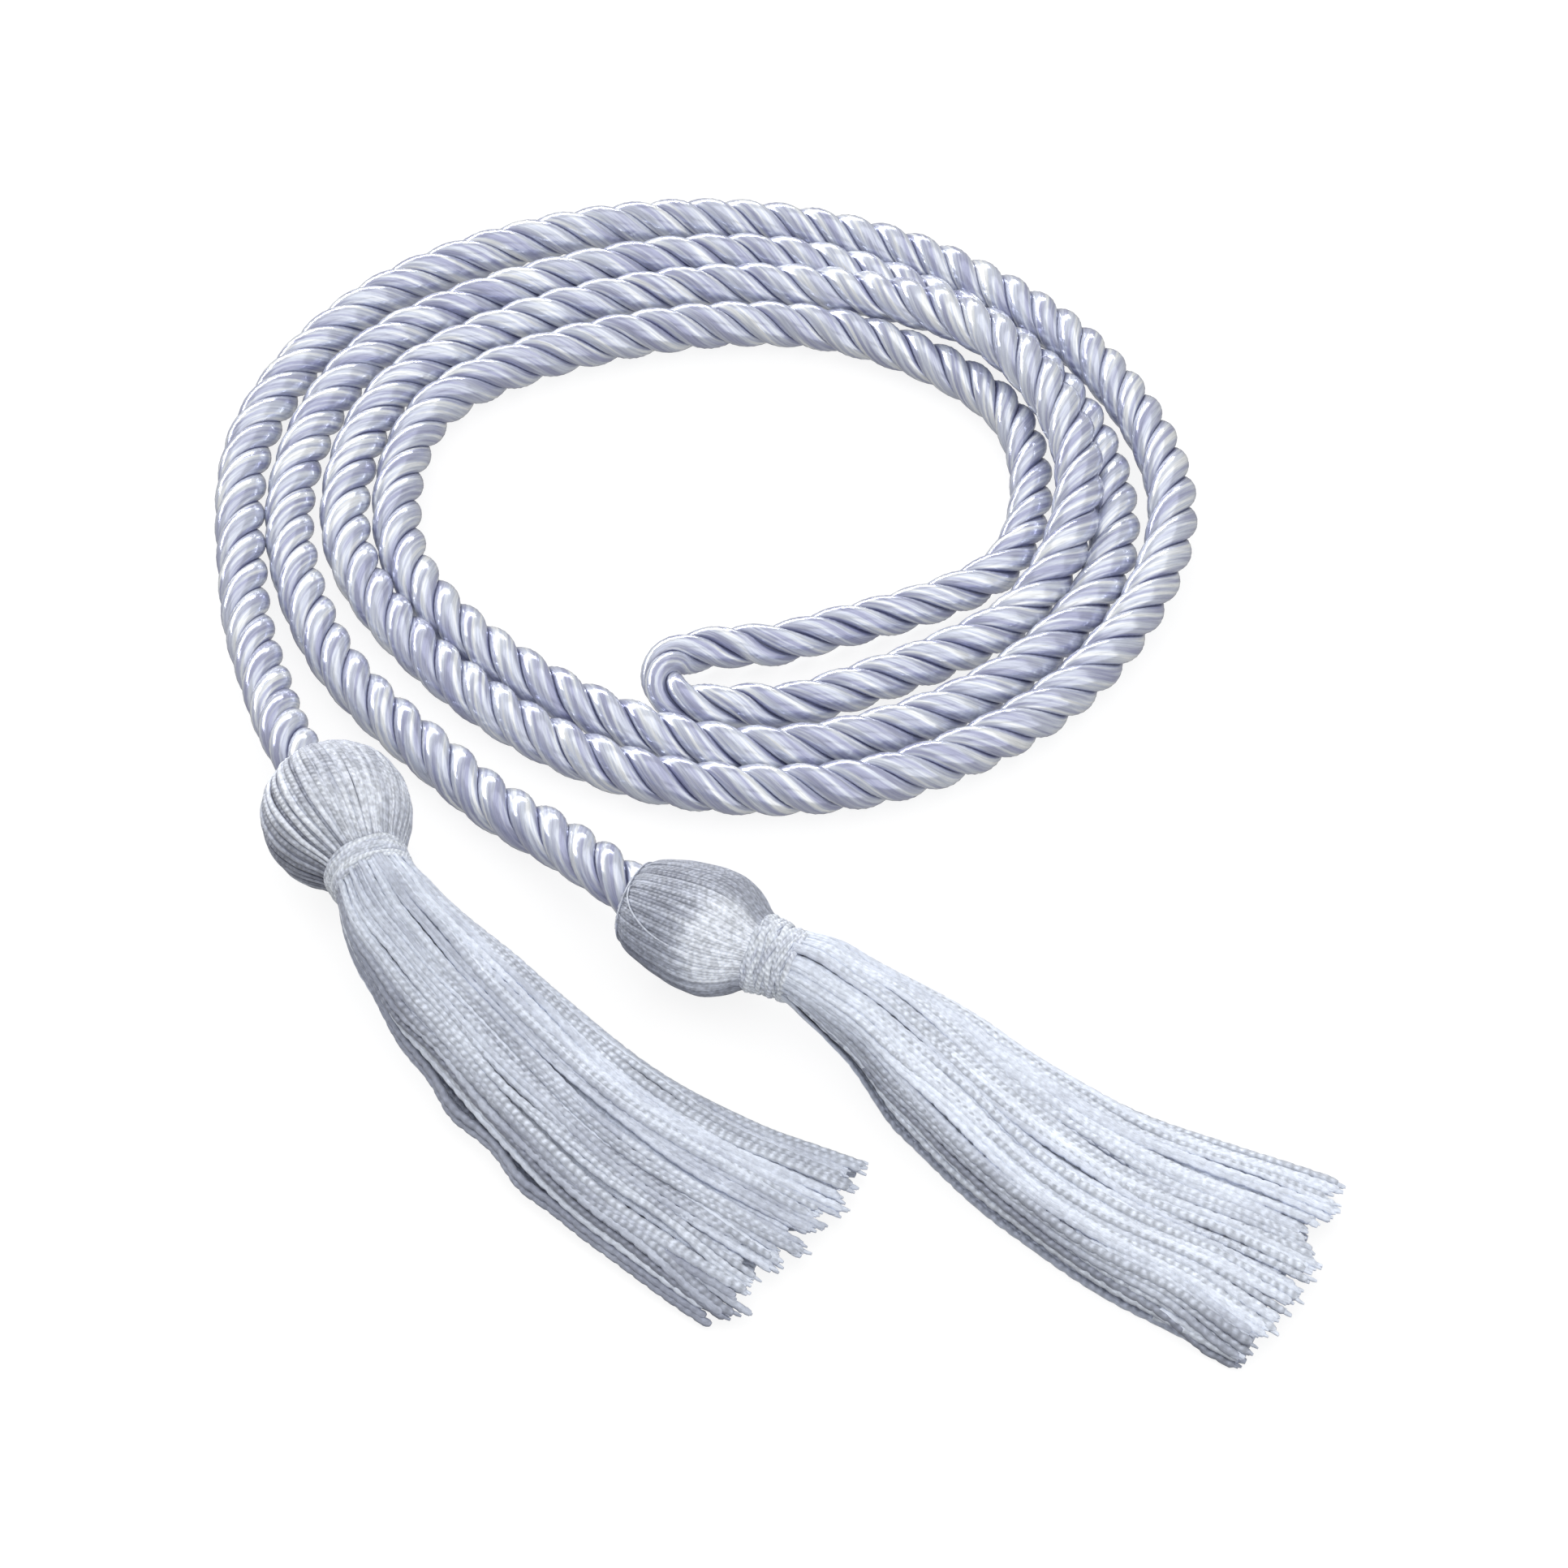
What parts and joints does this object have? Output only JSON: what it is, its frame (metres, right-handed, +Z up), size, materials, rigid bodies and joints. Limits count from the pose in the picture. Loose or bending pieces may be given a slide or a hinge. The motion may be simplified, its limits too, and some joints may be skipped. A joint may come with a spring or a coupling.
{
  "type": "honor cord",
  "caption": "Long twisted satin rope laid in an oval coil, with a round-headed thread tassel at each end. Worn around the neck over a gown as a sign of honor.",
  "frame": {"origin": "middle of the laid cord's bounding box, on the surface that it lies on", "axes": "+X to the right of the coil, +Y to the back of the coil, away from the tassels' skirts, +Z up from the surface"},
  "size_m": [0.1684, 0.2362, 0.022],
  "materials": {
    "rope_satin": "satin filaments, silver white with a lavender cast",
    "head_thread": "fine chained thread with a soft sheen, silver white",
    "band_thread": "wound thread, pale silver white",
    "skirt_thread": "chained rayon threads, silver white"
  },
  "bodies": {
    "root": {"rope": "rope_satin", "left_tassel_head": "head_thread", "left_tassel_neck_band": "band_thread", "left_tassel_skirt": "skirt_thread", "right_tassel_head": "head_thread", "right_tassel_neck_band": "band_thread", "right_tassel_skirt": "skirt_thread"}
  },
  "joints": []
}
